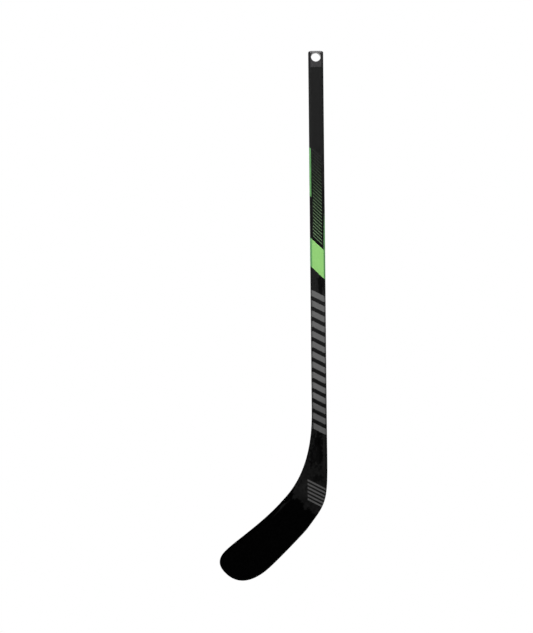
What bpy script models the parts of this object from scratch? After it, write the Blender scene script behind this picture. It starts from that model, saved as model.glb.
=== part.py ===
"""A mini hockey stick: a hollow shaft, a plug in its butt, and a curved blade of two shells on a foam core.

The stick hangs upright by the hole in its plug. The origin is the middle of that hole, +Z runs up the
shaft, the blade points to -X, and its hollow forehand side faces -Y. Sizes are in metres.
"""

import math

import bmesh
import bpy
from mathutils import Matrix, Vector
from mathutils.geometry import interpolate_bezier

GAP = 0.0003  # between bonded pieces
WELD = 0.000001  # points this close are one

# Shaft: a rectangle with bevelled corners in section, hollow from end to end. Each bevel here and on the
# blade is given by what it takes off the broad face and off the narrow side.
SHAFT_WIDTH = 0.0150
SHAFT_DEPTH = 0.0100
SHAFT_BEVEL_ON_FACE = 0.0018
SHAFT_BEVEL_ON_SIDE = 0.0031
SHAFT_WALL = 0.0013
SHAFT_LENGTH = 0.3454
EDGE_EASE = 0.0004  # what is cut back each way from the sharp lines that a bevel makes

# Butt plug: a head as wide as the shaft, with the hang hole, on a ribbed stem with a hollow end.
HOLE_DIAMETER = 0.0096
HOLE_MOUTH = 0.0005
HOLE_TO_TOP = 0.0060
HOLE_TO_SHAFT = 0.0103
HEAD_ROUND = 0.0016
STEM_LENGTH = 0.0210
STEM_RIB_HEIGHT = 0.0005
STEM_RIB_WIDTH = 0.0012
STEM_SIDE_RIBS = 3
STEM_WALL = 0.0012
STEM_FLOOR = 0.0040

# Neck and blade. The heel corner is where the shaft's far edge would meet the blade's bottom line. The
# blade runs from it at the drop angle, and a place on the blade is given along and above that line. Its
# upper edge has a broad, shallow bevel at the heel, which narrows to that of the lower edge at the tip.
NECK_LENGTH = 0.0973
BLADE_DROP = math.radians(44.3)
BLADE_LENGTH = 0.11645
BLADE_START = 0.0280
BLADE_THICKNESS = 0.0056
HEEL_BEVEL_ON_FACE = 0.0040
HEEL_BEVEL_ON_SIDE = 0.0010
BLADE_BEVEL_ON_FACE = 0.0014
BLADE_BEVEL_ON_SIDE = 0.0014
TOE_THICKNESS = 0.0046
HEEL_HEIGHT = 0.0382
TOE_HEIGHT = 0.0430
TIP_HEIGHT = 0.0302
BOTTOM_ROCKER = 0.0008
TOE_TOP_ROUND = 0.0228
TOE_BOTTOM_ROUND = 0.0288
CURVE_DEPTH = 0.0080
SKIN = 0.0010

# Tenon: bonded in the shaft's bore above the joint, and between the two shells below it.
TENON_IN_SHAFT = 0.0300
TENON_IN_NECK = 0.0360
TENON_POINT = 0.0015

STATIONS = (16, 8, 14)  # along the neck, the blade and the toe
ROUND_STEPS = 4
FACE_STEPS = 4
HOLE_SIDES = 40

HEAD_BOTTOM = -HOLE_TO_SHAFT
SHAFT_TOP = HEAD_BOTTOM - GAP
SHAFT_BOTTOM = SHAFT_TOP - SHAFT_LENGTH
NECK_TOP = SHAFT_BOTTOM - GAP
BORE_WIDTH = SHAFT_WIDTH - 2 * SHAFT_WALL
BORE_DEPTH = SHAFT_DEPTH - 2 * SHAFT_WALL
SHAFT_BEVEL = Vector((SHAFT_BEVEL_ON_FACE, SHAFT_BEVEL_ON_SIDE))
HEEL_BEVEL = Vector((HEEL_BEVEL_ON_FACE, HEEL_BEVEL_ON_SIDE))
BLADE_BEVEL = Vector((BLADE_BEVEL_ON_FACE, BLADE_BEVEL_ON_SIDE))
SHAFT_SHAPE = (SHAFT_DEPTH / 2, SHAFT_BEVEL, SHAFT_BEVEL)  # half depth, then the bevels of both edges

HEEL = Vector((SHAFT_WIDTH / 2, NECK_TOP - NECK_LENGTH))
ALONG = Vector((-math.cos(BLADE_DROP), -math.sin(BLADE_DROP)))
ABOVE = Vector((-math.sin(BLADE_DROP), math.cos(BLADE_DROP)))


def clear_scene():
    for obj in list(bpy.data.objects):
        bpy.data.objects.remove(obj, do_unlink=True)


def finish(name, colour, roughness, metallic=0.0):
    """A material with this colour, given as linear red, green and blue."""
    material = bpy.data.materials.new(name)
    material.use_nodes = True
    shader = material.node_tree.nodes["Principled BSDF"]
    shader.inputs["Base Color"].default_value = (*colour, 1.0)
    shader.inputs["Roughness"].default_value = roughness
    shader.inputs["Metallic"].default_value = metallic
    return material


def add_object(name, bm, material=None):
    mesh = bpy.data.meshes.new(name)
    bm.to_mesh(mesh)
    bm.free()
    obj = bpy.data.objects.new(name, mesh)
    bpy.context.scene.collection.objects.link(obj)
    if material:
        mesh.materials.append(material)
        mesh.shade_smooth()
        mesh.set_sharp_from_angle(angle=math.radians(35))
        obj.parent = stick
    return obj


def boolean(obj, operation, helper):
    """Joins the helper to the object or cuts it out, and keeps the helper itself out of the model."""
    helper.hide_render = True
    helper.display_type = "WIRE"
    modifier = obj.modifiers.new(helper.name, "BOOLEAN")
    modifier.operation = operation
    modifier.object = helper


def bar(width, depth, bottom, top):
    """An upright bar centred on the shaft's line."""
    bm = bmesh.new()
    size = Matrix.Diagonal((width, depth, top - bottom, 1.0))
    bmesh.ops.create_cube(bm, size=1.0, matrix=Matrix.Translation((0, 0, (top + bottom) / 2)) @ size)
    return bm


def hole_cutter(radius, mouth, depth):
    """A round cutter along Y through a body this deep, opened out at each face."""
    bm = bmesh.new()
    past = 2 * mouth
    rings = []
    for y, r in (
        (-depth / 2 - past, radius + mouth + past),
        (-depth / 2 + mouth, radius),
        (depth / 2 - mouth, radius),
        (depth / 2 + past, radius + mouth + past),
    ):
        turns = [2 * math.pi * i / HOLE_SIDES for i in range(HOLE_SIDES)]
        rings.append([bm.verts.new((r * math.cos(a), y, r * math.sin(a))) for a in turns])
    for ring, following in zip(rings, rings[1:]):
        for i in range(HOLE_SIDES):
            bm.faces.new((ring[i - 1], ring[i], following[i], following[i - 1]))
    bm.faces.new(rings[0])
    bm.faces.new(rings[-1])
    bmesh.ops.recalc_face_normals(bm, faces=bm.faces)
    return bm


def on_blade(along, above):
    return HEEL + along * ALONG + above * ABOVE


def heading(slope):
    """The direction that climbs from the blade's line at this angle, towards the toe."""
    return math.cos(slope) * ALONG + math.sin(slope) * ABOVE


def edge_line(start, stretches):
    """Points and directions along one edge of neck and blade, from the joint down and on to the toe's tip.

    Each stretch is a curve: where it ends, its slope there, and how far its two handles reach from its
    start and back from its end, as shares of the straight way between them.
    """
    points, directions = [start], [Vector((0, -1))]
    for steps, (end, slope, reach_on, reach_back) in zip(STATIONS, stretches):
        direction = heading(slope)
        way = (end - points[-1]).length
        leaving = points[-1] + reach_on * way * directions[-1]
        arriving = end - reach_back * way * direction
        line = [Vector(p) for p in interpolate_bezier(points[-1], leaving, arriving, end, steps + 1)]
        for i in range(1, steps):
            points.append(line[i])
            directions.append((line[i + 1] - line[i - 1]).normalized())
        points.append(end)
        directions.append(direction)
    return points, directions


def blade_edges():
    """Both edges, each with its points and with the directions from them into the blade."""
    tip = on_blade(BLADE_LENGTH, TIP_HEIGHT)
    toe_top = BLADE_LENGTH - TOE_TOP_ROUND
    toe_bottom = BLADE_LENGTH - TOE_BOTTOM_ROUND
    top, top_way = edge_line(
        Vector((-SHAFT_WIDTH / 2, NECK_TOP)),
        (
            (on_blade(BLADE_START, HEEL_HEIGHT), math.radians(-3.7), 0.64, 0.105),
            (on_blade(toe_top, TOE_HEIGHT), math.radians(4.2), 0.36, 0.15),
            (tip, math.radians(-87), 0.29, 0.61),
        ),
    )
    bottom, bottom_way = edge_line(
        Vector((SHAFT_WIDTH / 2, NECK_TOP)),
        (
            (on_blade(BLADE_START, BOTTOM_ROCKER), math.radians(-8.5), 0.78, 0.335),
            (on_blade(toe_bottom, BOTTOM_ROCKER), math.radians(8.3), 0.083, 0.183),
            (tip, math.radians(93), 0.58, 0.32),
        ),
    )
    top_in = [Vector((-way.y, way.x)) for way in top_way]
    bottom_in = [Vector((way.y, -way.x)) for way in bottom_way]
    return list(zip(top, top_in)), list(zip(bottom, bottom_in))


def shape_at(station):
    """Half the thickness at a station, then the bevels of the upper and the lower edge.

    The shape turns from the shaft's to the blade's down the neck, and thins on to the tip.
    """
    neck, blade, toe = STATIONS
    if station <= neck:
        share = station / neck
        ease = share * share * (3 - 2 * share)
        half = (SHAFT_DEPTH + (BLADE_THICKNESS - SHAFT_DEPTH) * ease) / 2
        return half, SHAFT_BEVEL.lerp(HEEL_BEVEL, ease), SHAFT_BEVEL.lerp(BLADE_BEVEL, ease)
    share = (station - neck) / (blade + toe)
    half = (BLADE_THICKNESS + (TOE_THICKNESS - BLADE_THICKNESS) * share) / 2
    return half, HEEL_BEVEL.lerp(BLADE_BEVEL, share), BLADE_BEVEL


def bend(point):
    """How far the curve of the blade carries this point towards the forehand side."""
    along = max(0.0, (point - HEEL).dot(ALONG))
    return -CURVE_DEPTH * (along / BLADE_LENGTH) ** 2


def edge_profile(half, bevel, inset, parting):
    """Points over one edge of a section, from its narrow side to its face, this far under the surface.

    Each is how far in from the edge and how far out from the middle it lies.
    """
    on_face, on_side = bevel
    slant = math.atan2(on_side, on_face)
    side = Vector((inset, half - on_side - inset * math.tan(math.pi / 4 - slant / 2)))
    face = Vector((on_face + inset * math.tan(slant / 2), half - inset))
    ease = EDGE_EASE * max(0.25, 1 - inset / SKIN)
    along = ease * (face - side).normalized()
    points = [side - Vector((0, ease)), side + along, face - along, face + Vector((ease, 0))]
    if parting is not None:
        points.insert(0, Vector((inset, parting)))
    return points


def face_line(top, bottom, shape, inset, side, parting=None):
    """The outline over one face of a section, from its top to its bottom edge, this far under the surface.

    It starts and ends at the parting plane where that is given.
    """
    half, top_bevel, bottom_bevel = shape
    upper = [(top[0] + top[1] * inward, out) for inward, out in edge_profile(half, top_bevel, inset, parting)]
    lower = [
        (bottom[0] + bottom[1] * inward, out)
        for inward, out in edge_profile(half, bottom_bevel, inset, parting)
    ]
    across = []
    for step in range(1, FACE_STEPS):
        across.append((upper[-1][0].lerp(lower[-1][0], step / FACE_STEPS), half - inset))
    line = upper + across + lower[::-1]
    return [(point.x, side * out + bend(point), point.y) for point, out in line]


def shaft_section(height, inset=0.0):
    """A section of the shaft at this height, this far under its surface."""
    top = (Vector((-SHAFT_WIDTH / 2, height)), Vector((1, 0)))
    bottom = (Vector((SHAFT_WIDTH / 2, height)), Vector((-1, 0)))
    front = face_line(top, bottom, SHAFT_SHAPE, inset, -1)
    back = face_line(top, bottom, SHAFT_SHAPE, inset, 1)
    return front + back[::-1]


def loft(sections, tip=False):
    """A closed body through these sections. Each is a loop whose second half runs back along its first.

    With a tip, the last section has no width, so that its two sides close on each other.
    """
    bm = bmesh.new()
    rings = [[bm.verts.new(point) for point in section] for section in sections]
    count = len(rings[0])
    for ring, following in zip(rings, rings[1:]):
        for i in range(count):
            bm.faces.new((ring[i - 1], ring[i], following[i], following[i - 1]))
    for ring in rings[:1] if tip else (rings[0], rings[-1]):
        for i in range(count // 2 - 1):
            bm.faces.new((ring[i], ring[i + 1], ring[count - 2 - i], ring[count - 1 - i]))
    bmesh.ops.remove_doubles(bm, verts=bm.verts, dist=WELD)
    bmesh.ops.recalc_face_normals(bm, faces=bm.faces)
    return bm


def shell_sections(side):
    """Sections of one shell of neck and blade, from its outer face to its inner one."""
    sections = []
    for station, (top, bottom) in enumerate(zip(*EDGES)):
        outer = face_line(top, bottom, shape_at(station), 0.0, side, GAP / 2)
        inner = face_line(top, bottom, shape_at(station), SKIN, side, GAP / 2)
        sections.append(outer + inner[::-1])
    return sections


def filling_sections():
    """Sections of the space inside the two shells, less the gap to them."""
    sections = []
    for station, (top, bottom) in enumerate(zip(*EDGES)):
        front = face_line(top, bottom, shape_at(station), SKIN + GAP, -1)
        back = face_line(top, bottom, shape_at(station), SKIN + GAP, 1)
        sections.append(front + back[::-1])
    return sections


def cut_level(bm, height, keep):
    """Cuts a body at this height, keeps what is above or below it, and closes the cut."""
    cut = bmesh.ops.bisect_plane(
        bm,
        geom=bm.verts[:] + bm.edges[:] + bm.faces[:],
        plane_co=(0, 0, height),
        plane_no=(0, 0, -1 if keep == "above" else 1),
        clear_outer=True,
    )
    edges = [item for item in cut["geom_cut"] if isinstance(item, bmesh.types.BMEdge)]
    bmesh.ops.contextual_create(bm, geom=edges)
    bmesh.ops.recalc_face_normals(bm, faces=bm.faces)
    return bm


def make_butt_plug(material):
    head = [shaft_section(HEAD_BOTTOM)]
    for step in range(ROUND_STEPS + 1):
        turn = math.pi / 2 * step / ROUND_STEPS
        height = HOLE_TO_TOP - HEAD_ROUND + HEAD_ROUND * math.sin(turn)
        head.append(shaft_section(height, HEAD_ROUND * (1 - math.cos(turn))))
    plug = add_object("butt_plug", loft(head), material)
    stem_width = BORE_WIDTH - 2 * GAP
    stem_depth = BORE_DEPTH - 2 * GAP
    core_width = stem_width - 2 * STEM_RIB_HEIGHT
    core_depth = stem_depth - 2 * STEM_RIB_HEIGHT
    stem_top = HEAD_BOTTOM + STEM_FLOOR / 2
    stem_bottom = HEAD_BOTTOM - STEM_LENGTH
    stem_inset = SHAFT_WALL + GAP + STEM_RIB_HEIGHT
    stem = loft([shaft_section(stem_bottom, stem_inset), shaft_section(stem_top, stem_inset)])
    boolean(plug, "UNION", add_object("stem", stem))
    rib_bottom = stem_bottom + STEM_WALL
    side_rib = add_object("end_ribs", bar(stem_width, STEM_RIB_WIDTH, rib_bottom, stem_top))
    boolean(plug, "UNION", side_rib)
    pitch = core_width / STEM_SIDE_RIBS
    for i in range(STEM_SIDE_RIBS):
        rib = bar(STEM_RIB_WIDTH, stem_depth, rib_bottom, stem_top)
        bmesh.ops.translate(rib, verts=rib.verts, vec=((i - (STEM_SIDE_RIBS - 1) / 2) * pitch, 0, 0))
        boolean(plug, "UNION", add_object(f"face_rib_{i + 1}", rib))
    pocket = bar(
        core_width - 2 * STEM_WALL,
        core_depth - 2 * STEM_WALL,
        stem_bottom - STEM_WALL,
        HEAD_BOTTOM - STEM_FLOOR,
    )
    boolean(plug, "DIFFERENCE", add_object("stem_pocket", pocket))
    hole = hole_cutter(HOLE_DIAMETER / 2, HOLE_MOUTH, SHAFT_DEPTH)
    boolean(plug, "DIFFERENCE", add_object("hang_hole", hole))


def make_shaft_tube(material):
    tube = add_object("shaft_tube", loft([shaft_section(SHAFT_BOTTOM), shaft_section(SHAFT_TOP)]), material)
    bore = [
        shaft_section(SHAFT_BOTTOM - SHAFT_WALL, SHAFT_WALL),
        shaft_section(SHAFT_TOP + SHAFT_WALL, SHAFT_WALL),
    ]
    boolean(tube, "DIFFERENCE", add_object("bore", loft(bore)))


def make_blade(shell_material, tenon_material, foam_material):
    add_object("blade_forehand_skin", loft(shell_sections(-1), tip=True), shell_material)
    add_object("blade_backhand_skin", loft(shell_sections(1), tip=True), shell_material)
    tenon_top = SHAFT_BOTTOM + TENON_IN_SHAFT
    stub = [
        shaft_section(tenon_top, SHAFT_WALL + GAP + TENON_POINT / 2),
        shaft_section(tenon_top - TENON_POINT, SHAFT_WALL + GAP),
        shaft_section(NECK_TOP, SHAFT_WALL + GAP),
    ]
    tenon_bottom = NECK_TOP - TENON_IN_NECK
    tenon = loft(stub + filling_sections(), tip=True)
    add_object("neck_tenon", cut_level(tenon, tenon_bottom, "above"), tenon_material)
    core = loft(filling_sections(), tip=True)
    add_object("blade_core", cut_level(core, tenon_bottom - GAP, "below"), foam_material)


clear_scene()
stick = bpy.data.objects.new("mini_hockey_stick", None)
bpy.context.scene.collection.objects.link(stick)
EDGES = blade_edges()
make_butt_plug(finish("moulded plastic", (0.047, 0.047, 0.048), 0.45))
make_shaft_tube(finish("painted composite", (0.014, 0.014, 0.014), 0.40))
make_blade(
    finish("moulded composite", (0.006, 0.006, 0.006), 0.45),
    finish("beech", (0.48, 0.30, 0.15), 0.60),
    finish("white foam", (0.80, 0.78, 0.72), 0.90),
)
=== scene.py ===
"""Looks of a mini hockey stick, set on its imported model.

Camera and light come first, then the stick as it is put together: tube, plug, what the neck and the blade
hold, their two shells, and last the paint and the print. It hangs by the hole at the origin, +Z up, blade
to -X, hollow forehand side to -Y. Sizes are in metres, and a pattern's scale is its grains in a metre.
"""
import math

import bmesh
import bpy
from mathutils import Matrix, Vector
from mathutils.geometry import interpolate_bezier


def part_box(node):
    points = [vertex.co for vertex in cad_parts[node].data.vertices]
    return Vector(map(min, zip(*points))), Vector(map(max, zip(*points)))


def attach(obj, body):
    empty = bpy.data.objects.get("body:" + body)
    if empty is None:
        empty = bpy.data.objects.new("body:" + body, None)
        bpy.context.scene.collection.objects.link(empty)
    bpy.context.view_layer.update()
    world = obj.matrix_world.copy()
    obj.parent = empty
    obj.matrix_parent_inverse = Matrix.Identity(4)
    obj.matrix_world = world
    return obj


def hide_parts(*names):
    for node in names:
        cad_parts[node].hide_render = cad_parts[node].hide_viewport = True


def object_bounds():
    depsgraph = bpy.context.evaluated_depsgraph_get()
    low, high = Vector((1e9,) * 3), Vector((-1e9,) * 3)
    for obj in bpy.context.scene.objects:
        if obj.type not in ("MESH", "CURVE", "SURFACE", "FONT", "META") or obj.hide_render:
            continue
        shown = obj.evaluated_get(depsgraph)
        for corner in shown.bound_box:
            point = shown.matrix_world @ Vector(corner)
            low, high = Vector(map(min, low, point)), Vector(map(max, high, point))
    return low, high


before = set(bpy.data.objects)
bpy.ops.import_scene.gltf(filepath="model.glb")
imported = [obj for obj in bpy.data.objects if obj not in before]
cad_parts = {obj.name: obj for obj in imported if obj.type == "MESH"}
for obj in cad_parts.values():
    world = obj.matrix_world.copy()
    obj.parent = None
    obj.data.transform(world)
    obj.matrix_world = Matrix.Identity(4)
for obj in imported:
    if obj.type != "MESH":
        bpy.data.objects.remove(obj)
cad_low, cad_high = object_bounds()

# The camera. It looks square at the forehand side from 1.45 m, level with the middle of the stick: low enough
# to see the roof of the hang hole. One pixel of the 533 by 633 picture is one millimetre at the shaft's
# front face, and the stick leans a little, its blade to the right.
PICTURE_WIDTH = 533
PICTURE_HEIGHT = 633
HOLE_COLUMN = 315.84
HOLE_ROW = 56.56
PIXEL = 0.001
LEAN = math.radians(0.57)
CAMERA_DISTANCE = 1.45
SENSOR_HEIGHT = 36.0  # millimetres, along the picture's long side

shaft_low, shaft_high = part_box("shaft_tube")
beside_hole = (PICTURE_WIDTH / 2 - HOLE_COLUMN) * PIXEL
below_hole = (PICTURE_HEIGHT / 2 - HOLE_ROW) * PIXEL
camera = bpy.data.objects.new("camera", bpy.data.cameras.new("camera"))
camera.data.sensor_width = SENSOR_HEIGHT
camera.data.lens = SENSOR_HEIGHT * CAMERA_DISTANCE / (PICTURE_HEIGHT * PIXEL)
camera.location = (
    beside_hole * math.cos(LEAN) - below_hole * math.sin(LEAN),
    shaft_low.y - CAMERA_DISTANCE,
    -beside_hole * math.sin(LEAN) - below_hole * math.cos(LEAN),
)
camera.rotation_euler = (math.pi / 2, LEAN, 0)
bpy.context.scene.collection.objects.link(camera)
bpy.context.scene.camera = camera
bpy.context.scene.view_settings.view_transform = "Standard"

# The studio. Its far wall is white, which the lens and the stick's edges see. The side that the camera
# stands on is dark, as in any shot of a black thing. A flagged softbox lights the front from high up and two
# more light the back. One hangs overhead, and dim slim ones draw the sheen on the corners and their bevels.
ROOM_LEVEL = 0.05  # what reaches matt surfaces from all round
FRONT_GLOSS_LEVEL = 0.03  # what a glossy surface sees on the camera's side
FAR_WALL_START = 0.75  # where the wall starts to show in gloss, as a share of the way to straight back
FLOOR_BELOW_TOE = 0.45
FLOOR_RADIUS = 1.2
FLOOR_PAINTED_RADIUS = 0.45  # past this it turns into the white of the far wall
FLOOR_SIDES = 128
SOFTBOXES = (
    # name, degrees round from the camera's side and up, distance, width, height, watts, seen in gloss
    ("key_softbox", -5, 42, 1.8, 0.8, 0.8, 31, False),
    ("right_back_softbox", 156, 20, 1.6, 0.4, 0.9, 14, False),
    ("left_back_softbox", -156, 20, 1.6, 0.4, 0.9, 14, False),
    ("overhead_softbox", 0, 85, 1.4, 0.6, 0.35, 11, True),
    ("right_corner_strip", 55, 8, 1.4, 0.15, 1.2, 0.4, True),
    ("left_corner_strip", -55, 8, 1.4, 0.15, 1.2, 0.4, True),
    ("right_bevel_strip", 120, 0, 1.4, 0.15, 1.2, 0.13, True),
    ("left_bevel_card", -120, 19, 1.5, 0.2, 0.3, 0.1, True),
)


def linear(colour):
    """An sRGB hex colour, such as #3c3c3c, as linear red, green, blue and alpha."""
    channels = [int(colour[i : i + 2], 16) / 255 for i in (1, 3, 5)]
    return (*[c / 12.92 if c <= 0.04045 else ((c + 0.055) / 1.055) ** 2.4 for c in channels], 1.0)


def set_node(tree, node, settings):
    """Sets a node's properties and, by name or number, its inputs.

    An input takes a value, a hex colour, a socket, or a node, which gives the first output it has in use.
    """
    for name, value in settings.items():
        if isinstance(name, str) and hasattr(node, name):
            setattr(node, name, value)
            continue
        if isinstance(value, bpy.types.Node):
            value = next(output for output in value.outputs if output.enabled)
        if isinstance(value, bpy.types.NodeSocket):
            tree.links.new(value, node.inputs[name])
        else:
            node.inputs[name].default_value = linear(value) if isinstance(value, str) else value
    return node


def add_node(tree, kind, settings=None):
    """Adds a node of this kind, with these settings."""
    return set_node(tree, tree.nodes.new(kind), settings or {})


def new_material(name):
    """A new material, with its nodes, its shader and the place on a piece that its patterns read."""
    material = bpy.data.materials.new(name)
    material.use_nodes = True
    tree = material.node_tree
    place = add_node(tree, "ShaderNodeTexCoord").outputs["Object"]
    return material, tree, tree.nodes["Principled BSDF"], place


def add_piece(name, bm, material=None):
    """A new object with this mesh."""
    mesh = bpy.data.meshes.new(name)
    bm.to_mesh(mesh)
    bm.free()
    if material:
        mesh.materials.append(material)
    piece = bpy.data.objects.new(name, mesh)
    bpy.context.scene.collection.objects.link(piece)
    return piece


world = bpy.data.worlds.new("studio")
world.use_nodes = True
bpy.context.scene.world = world
tree = world.node_tree
rays = add_node(tree, "ShaderNodeLightPath").outputs
direction = add_node(tree, "ShaderNodeTexCoord").outputs["Generated"]
backwards = add_node(tree, "ShaderNodeSeparateXYZ", {0: direction}).outputs["Y"]
gloss_level = add_node(tree, "ShaderNodeMapRange", {
    "interpolation_type": "SMOOTHSTEP",
    "Value": backwards,
    "From Min": FAR_WALL_START,
    "To Min": FRONT_GLOSS_LEVEL,
})
level = add_node(tree, "ShaderNodeMix", {"Factor": rays["Is Glossy Ray"], "A": ROOM_LEVEL, "B": gloss_level})
seen = add_node(tree, "ShaderNodeMath", {
    "operation": "MAXIMUM", 0: rays["Is Camera Ray"], 1: rays["Is Transmission Ray"],
})
level = add_node(tree, "ShaderNodeMix", {"Factor": seen, "A": level, "B": 1.0})
set_node(tree, tree.nodes["Background"], {"Color": "#ffffff", "Strength": level})

stick_middle = (cad_low + cad_high) / 2
for name, azimuth, elevation, distance, width, height, watts, in_gloss in SOFTBOXES:
    around, up = math.radians(azimuth), math.radians(elevation)
    aside = Vector((math.sin(around) * math.cos(up), -math.cos(around) * math.cos(up), math.sin(up)))
    lamp = bpy.data.lights.new(name, "AREA")
    lamp.shape = "RECTANGLE"
    lamp.size = width
    lamp.size_y = height
    lamp.energy = watts
    softbox = bpy.data.objects.new(name, lamp)
    softbox.location = stick_middle + distance * aside
    softbox.rotation_euler = aside.to_track_quat("Z", "Y").to_euler()
    softbox.visible_glossy = in_gloss
    bpy.context.scene.collection.objects.link(softbox)

# Matt white floor paint: pale and dull, and lost in the far wall's white further out.
floor_paint, tree, shader, place = new_material("matt_white_floor_paint")
set_node(tree, shader, {"Base Color": "#f4f4f2", "Roughness": 0.9})
flat_place = add_node(tree, "ShaderNodeVectorMath", {"operation": "MULTIPLY", 0: place, 1: (1, 1, 0)})
from_middle = add_node(tree, "ShaderNodeVectorMath", {"operation": "LENGTH", 0: flat_place})
far_wall = add_node(tree, "ShaderNodeMapRange", {
    "interpolation_type": "SMOOTHSTEP",
    "Value": from_middle,
    "From Min": FLOOR_PAINTED_RADIUS,
    "From Max": FLOOR_RADIUS,
})
seen = add_node(tree, "ShaderNodeLightPath").outputs["Is Camera Ray"]
white_share = add_node(tree, "ShaderNodeMath", {"operation": "MULTIPLY", 0: far_wall, 1: seen})
white = add_node(tree, "ShaderNodeEmission", {"Color": "#ffffff"})
sweep = add_node(tree, "ShaderNodeMixShader", {0: white_share, 1: shader, 2: white})
set_node(tree, tree.nodes["Material Output"], {"Surface": sweep})

bm = bmesh.new()
bmesh.ops.create_circle(bm, cap_ends=True, segments=FLOOR_SIDES, radius=FLOOR_RADIUS)
bmesh.ops.translate(bm, verts=bm.verts, vec=(0, 0, cad_low.z - FLOOR_BELOW_TOE))
floor = add_piece("floor", bm, floor_paint)

# The shaft: a hollow tube of glass and carbon fibre in resin, with bevelled corners, wrapped round a mandrel
# and baked in a mould. It is sprayed charcoal under a satin clear coat, and its colour darkens to black
# towards the blade.
GLUE_GAP = 0.0003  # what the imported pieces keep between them; here the tube is longer and closes it
JOINT = 0.00004  # the fine line that is left between glued pieces
WELD = 0.000001  # points nearer to each other than this are one
SHAFT_WIDTH = shaft_high.x - shaft_low.x
SHAFT_DEPTH = shaft_high.y - shaft_low.y
SHAFT_BEVEL = Vector((0.0018, 0.0031))  # what it takes off the broad face and off the narrow side
SHAFT_WALL = 0.0013
RIM_CHAMFER = 0.0001
SHAFT_EASE = 0.00035  # how far the bevel's two lines are rounded each way
LEAST_EASE = 0.25  # the share of that rounding that the inner side of a wall keeps
EASE_STEPS = 5
SHARP_ANGLE = math.radians(32)
CHARCOAL_BOTTOM = -0.225  # the charcoal starts to darken here, and is black at the next height
BLACK_TOP = -0.350
PAINT_GRAIN = 900.0  # 1.1 mm each; real droplets are under 0.1 mm and wouldn't show
PAINT_PEEL = 700.0  # 1.4 mm from dimple to dimple, as orange peel has them
PAINT_STREAKS = (900, 900, 160)  # 1.1 mm wide and 6 mm long
PATCH_GONE = 1.1  # where a sprayed patch is all gone and where it is whole, as shares of its radii
PATCH_WHOLE = 0.8
PATCH_RAGGED = 2.5  # how much a patch's edge follows the noise
PATCH_DEPTH = 0.004  # the shaft's patches lie on its front, and this is how deep they go
SHAFT_PATCHES = (
    # x and z of the middle, radii along them, degrees turned, colour: soft dark patches under the hatching
    # and below the green band, then two thin lighter lines on the crease towards the blade, a painted
    # highlight
    (0.0, -0.1560, 0.0095, 0.0520, 0, "#0f0f0f"),
    (0.0026, -0.2290, 0.0030, 0.0125, 0, "#080808"),
    # painted highlight: thin lighter lines where the crease would catch the light
    (-0.00556, -0.0515, 0.00055, 0.0400, -0.33, "#262626"),
    (-0.00493, -0.1620, 0.00050, 0.0225, -0.33, "#212121"),
)


def edge_profile(half_depth, bevel, ease, inset=0.0):
    """Points over one long edge of a section, from its narrow side to its face, this far under the surface.

    Each says how far in from the edge and how far out from the middle it lies.
    """
    slant = math.atan2(bevel.y, bevel.x)
    side = Vector((inset, half_depth - bevel.y - inset * math.tan(math.pi / 4 - slant / 2)))
    face = Vector((bevel.x + inset * math.tan(slant / 2), half_depth - inset))
    soft = ease * max(LEAST_EASE, 1 - inset / SHAFT_WALL)
    down_bevel = soft * (side - face).normalized()
    points = []
    for before, line, after in (
        (side - Vector((0, soft)), side, side - down_bevel),
        (face + down_bevel, face, face + Vector((soft, 0))),
    ):
        points += [Vector(point) for point in interpolate_bezier(before, line, line, after, EASE_STEPS + 1)]
    return points


def shaft_outline(inset=0.0):
    """Points round the shaft, this far under its surface, from the middle of its front over its +X side."""
    profile = edge_profile(SHAFT_DEPTH / 2, SHAFT_BEVEL, SHAFT_EASE, inset)
    outline = [Vector((0, inset - SHAFT_DEPTH / 2))]
    for right, back in ((1, -1), (1, 1), (-1, 1), (-1, -1)):
        for inwards, out in profile[:: right * back]:
            outline.append(Vector((right * (SHAFT_WIDTH / 2 - inwards), back * out)))
    return outline


def upright(outline, height):
    """The points of this flat outline at this height."""
    return [(point.x, point.y, height) for point in outline]


def loft(rings, caps=True):
    """A mesh through these closed rings of points, which run bottom to top and all have as many points."""
    bm = bmesh.new()
    loops = [[bm.verts.new(point) for point in ring] for ring in rings]
    for lower, upper in zip(loops, loops[1:]):
        for i in range(len(lower)):
            bm.faces.new((lower[i - 1], lower[i], upper[i], upper[i - 1]))
    if caps:
        bm.faces.new(loops[0])
        bm.faces.new(loops[-1])
    bmesh.ops.recalc_face_normals(bm, faces=bm.faces)
    return bm


def apply_modifiers(piece):
    """Turns what its modifiers make of a piece into its plain mesh."""
    evaluated = piece.evaluated_get(bpy.context.evaluated_depsgraph_get())
    piece.data = bpy.data.meshes.new_from_object(evaluated)
    piece.modifiers.clear()


def shade(piece):
    """Shades a piece smooth over its rounded lines, flat on its flats and sharp at its sharp lines."""
    piece.data.shade_smooth()
    piece.data.set_sharp_from_angle(angle=SHARP_ANGLE)
    modifier = piece.modifiers.new("flats_shade_flat", "WEIGHTED_NORMAL")
    modifier.keep_sharp = True
    apply_modifiers(piece)


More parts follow.
